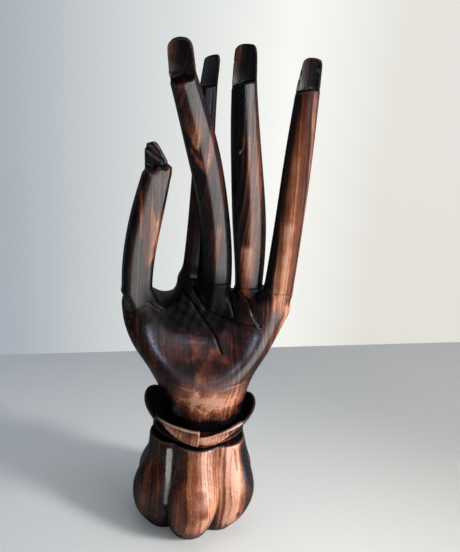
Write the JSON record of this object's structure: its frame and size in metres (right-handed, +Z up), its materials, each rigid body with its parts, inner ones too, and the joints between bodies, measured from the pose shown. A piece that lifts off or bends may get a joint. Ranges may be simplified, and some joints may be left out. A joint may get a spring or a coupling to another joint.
{
  "type": "wooden hand mannequin",
  "caption": "Carved dark-wood left hand standing upright on a lobed foot with a petal collar; a rigid display hand for rings and jewellery.",
  "frame": {"origin": "centre of the foot's flat underside", "axes": "+Z up along the wrist to the fingertips, -Y the way the palm faces, +X from the thumb to the little finger"},
  "size_m": [0.0871, 0.07, 0.2471],
  "materials": {
    "dark_hardwood": "polished, satin gloss",
    "dowel_wood": "bare turned wood"
  },
  "bodies": {
    "root": {"lotus_base": "dark_hardwood", "lotus_collar": "dark_hardwood", "palm": "dark_hardwood", "thumb": "dark_hardwood", "index_finger": "dark_hardwood", "middle_finger": "dark_hardwood", "ring_finger": "dark_hardwood", "little_finger": "dark_hardwood", "wrist_dowel": "dowel_wood", "thumb_dowel": "dowel_wood", "index_dowel": "dowel_wood", "middle_dowel": "dowel_wood", "ring_dowel": "dowel_wood", "little_dowel": "dowel_wood"}
  },
  "joints": []
}
